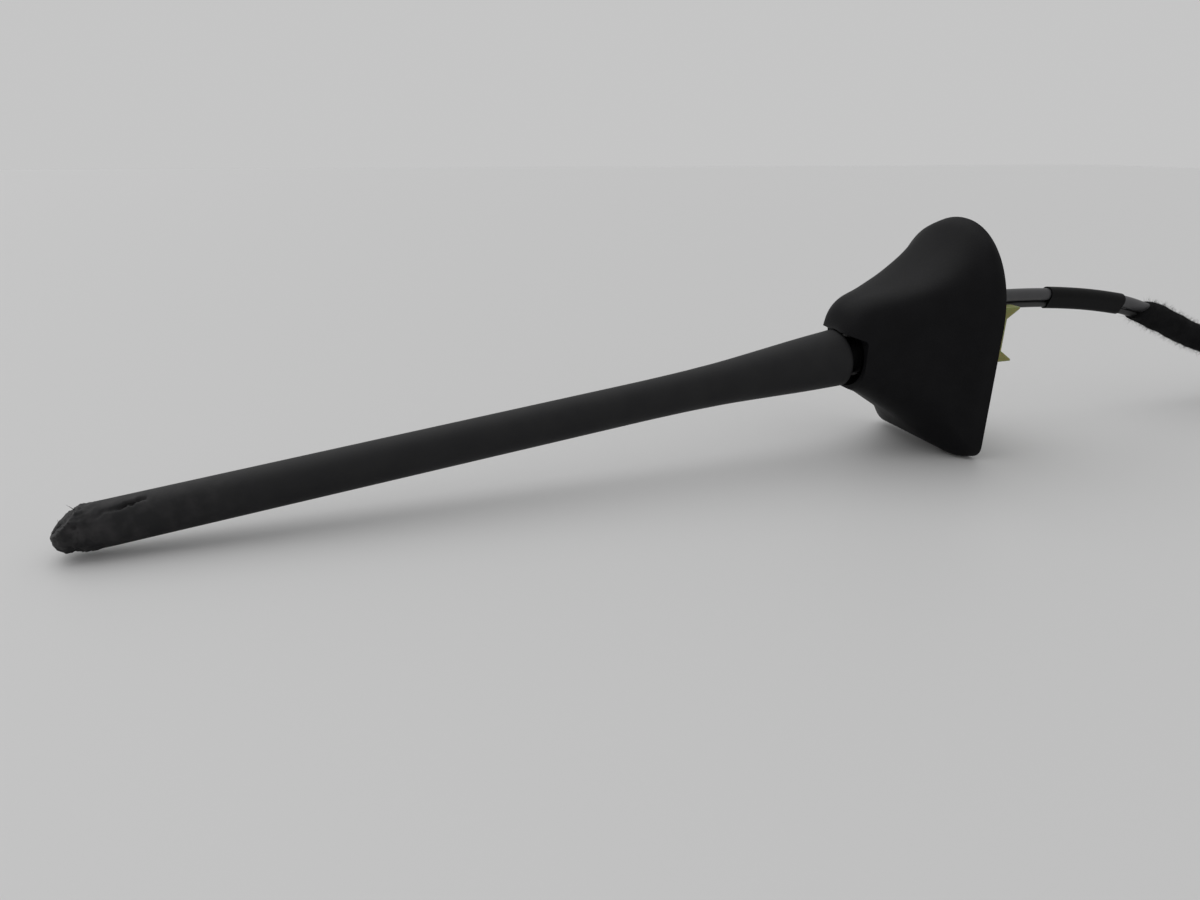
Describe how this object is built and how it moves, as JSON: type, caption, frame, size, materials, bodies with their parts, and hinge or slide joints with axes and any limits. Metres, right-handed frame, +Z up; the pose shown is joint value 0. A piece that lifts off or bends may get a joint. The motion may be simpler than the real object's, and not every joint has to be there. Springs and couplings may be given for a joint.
{
  "type": "car roof antenna",
  "caption": "Car roof antenna: a flexible rubber mast with a torn tip screwed into a black moulded bell-shaped base, with a snap clip under the foot and a sleeved, felt-wrapped lead.",
  "frame": {"origin": "middle of the foot, on the roof's surface, where the fixing boss goes through", "axes": "+X to the front of the car, +Y to the left, +Z up out of the roof; the mast rakes to the rear"},
  "size_m": [0.0654, 0.044, 0.4687],
  "materials": {
    "cover_plastic": "fine moulded grain, black",
    "die_cast": "raw die casting, dull",
    "gasket_rubber": "matte foam rubber",
    "zinc_steel": "zinc plated",
    "clip_plastic": "translucent yellow-green",
    "board_laminate": "solder resist, satin",
    "tin_plate": "bright tin",
    "chip_epoxy": "matte epoxy",
    "coil_copper": "enamelled copper wire",
    "ceramic": "tan ceramic with tinned ends",
    "contact_brass": "spring brass",
    "hub_metal": "black plated, satin",
    "rod_glassfibre": "pale glass fibre",
    "mast_rubber": "matte, worn and torn at the tip",
    "lead_grey": "grey cable skin",
    "lead_black": "black wire skin",
    "shrink_sleeve": "smooth shrink sleeve",
    "felt": "fuzzy felt tape",
    "grommet_rubber": "moulded rubber",
    "plug_plastic": "moulded plastic"
  },
  "bodies": {
    "base": {"base_cover": "cover_plastic", "base_plate": "die_cast", "roof_gasket": "gasket_rubber", "cover_screws": "zinc_steel", "snap_clip": "clip_plastic", "circuit_board": "board_laminate", "board_screws": "zinc_steel", "shield_can": "tin_plate", "amplifier_chip": "chip_epoxy", "filter_coils": "coil_copper", "board_capacitors": "ceramic", "feed_contact": "contact_brass", "mast_socket": "hub_metal", "coax_tail": "tin_plate", "supply_tail": "tin_plate", "coax_cable": "lead_grey", "supply_lead": "lead_black", "lead_sleeve": "shrink_sleeve", "felt_wrap": "felt", "cable_grommet": "grommet_rubber", "plug_housing": "plug_plastic", "plug_shell": "tin_plate", "plug_pin": "contact_brass", "supply_blade": "tin_plate"},
    "washer": {"mast_washer": "hub_metal"},
    "mast": {"mast_ferrule": "hub_metal", "mast_rod": "rod_glassfibre", "mast_winding": "coil_copper", "mast_jacket": "mast_rubber"}
  },
  "joints": [
    {"name": "mast_lift", "type": "slide", "parent": "base", "child": "washer", "axis": [-0.1132, 0, 0.9936], "range_m": [0, 0.009]},
    {"name": "mast_turn", "type": "hinge", "parent": "washer", "child": "mast", "pos_m": [-0.0048, 0, 0.0378], "axis": [-0.1132, 0, 0.9936], "range_deg": [0, 3600]}
  ],
  "couplings": [
    {"joint": "mast_lift", "follows": "mast_turn", "m_per_rad": 0.00012732}
  ]
}
